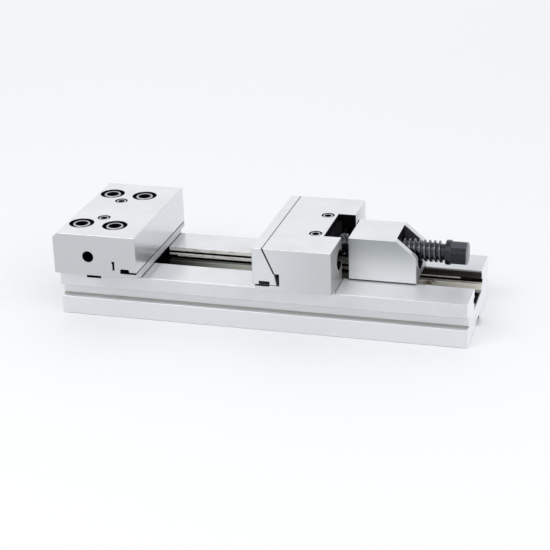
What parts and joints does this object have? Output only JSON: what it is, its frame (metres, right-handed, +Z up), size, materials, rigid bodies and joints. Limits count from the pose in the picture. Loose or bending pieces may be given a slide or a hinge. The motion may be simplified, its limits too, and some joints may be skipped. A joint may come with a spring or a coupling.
{
  "type": "modular machine vise",
  "caption": "Low-profile steel machine vise: a long slotted base, a bolted fixed jaw, a pull-down movable jaw, and a nut block with a hexagon-driven spindle.",
  "frame": {"origin": "centre of the base's bottom face", "axes": "+X along the vise from the fixed jaw to the spindle's hexagon, +Y across to the rear side, +Z up"},
  "size_m": [0.42, 0.15, 0.093],
  "materials": {
    "ground_steel": "surface-ground hardened steel, bright, with soft reflections",
    "hardened_steel": "milled and hardened steel, satin",
    "black_oxide": "black oxide, slightly oily",
    "spring_steel": "blued spring steel"
  },
  "bodies": {
    "vise_base": {"base": "ground_steel", "rack_front": "hardened_steel", "rack_rear": "hardened_steel", "fixed_jaw": "ground_steel", "fixed_jaw_key": "hardened_steel", "fixed_jaw_screw_1": "black_oxide", "fixed_jaw_screw_2": "black_oxide", "fixed_jaw_screw_3": "black_oxide", "fixed_jaw_screw_4": "black_oxide", "key_screw_1": "black_oxide", "key_screw_2": "black_oxide"},
    "nut_carriage": {"nut_block": "ground_steel", "nut_foot": "hardened_steel", "nut_screw_1": "black_oxide", "nut_screw_2": "black_oxide"},
    "movable_jaw": {"jaw_body": "ground_steel", "jaw_guide": "hardened_steel", "guide_screw_1": "black_oxide", "guide_screw_2": "black_oxide", "thrust_cup": "hardened_steel", "nose_retainer": "black_oxide", "retainer_screw_1": "black_oxide", "retainer_screw_2": "black_oxide", "plate_screw_1": "black_oxide", "plate_screw_2": "black_oxide", "plate_spring_1": "spring_steel", "plate_spring_2": "spring_steel"},
    "pull_down_plate": {"jaw_plate": "ground_steel"},
    "feed_screw": {"spindle": "black_oxide"}
  },
  "joints": [
    {"name": "quick_position", "type": "slide", "parent": "vise_base", "child": "nut_carriage", "axis": [1, 0, 0], "range_m": [-0.09, 0.074]},
    {"name": "screw_feed", "type": "slide", "parent": "nut_carriage", "child": "movable_jaw", "axis": [1, 0, 0], "range_m": [-0.029, 0.005]},
    {"name": "spindle_turn", "type": "hinge", "parent": "movable_jaw", "child": "feed_screw", "pos_m": [0.0388, 0, 0.073], "axis": [1, 0, 0], "range_deg": [-2100, 370]},
    {"name": "pull_down", "type": "slide", "parent": "movable_jaw", "child": "pull_down_plate", "axis": [0.4067, 0, -0.9135], "range_m": [0, 0.0006], "stiffness_N_per_m": 20000, "springref_m": -0.0006}
  ],
  "couplings": [
    {"joint": "spindle_turn", "follows": "screw_feed", "rad_per_m": 1256.6}
  ]
}
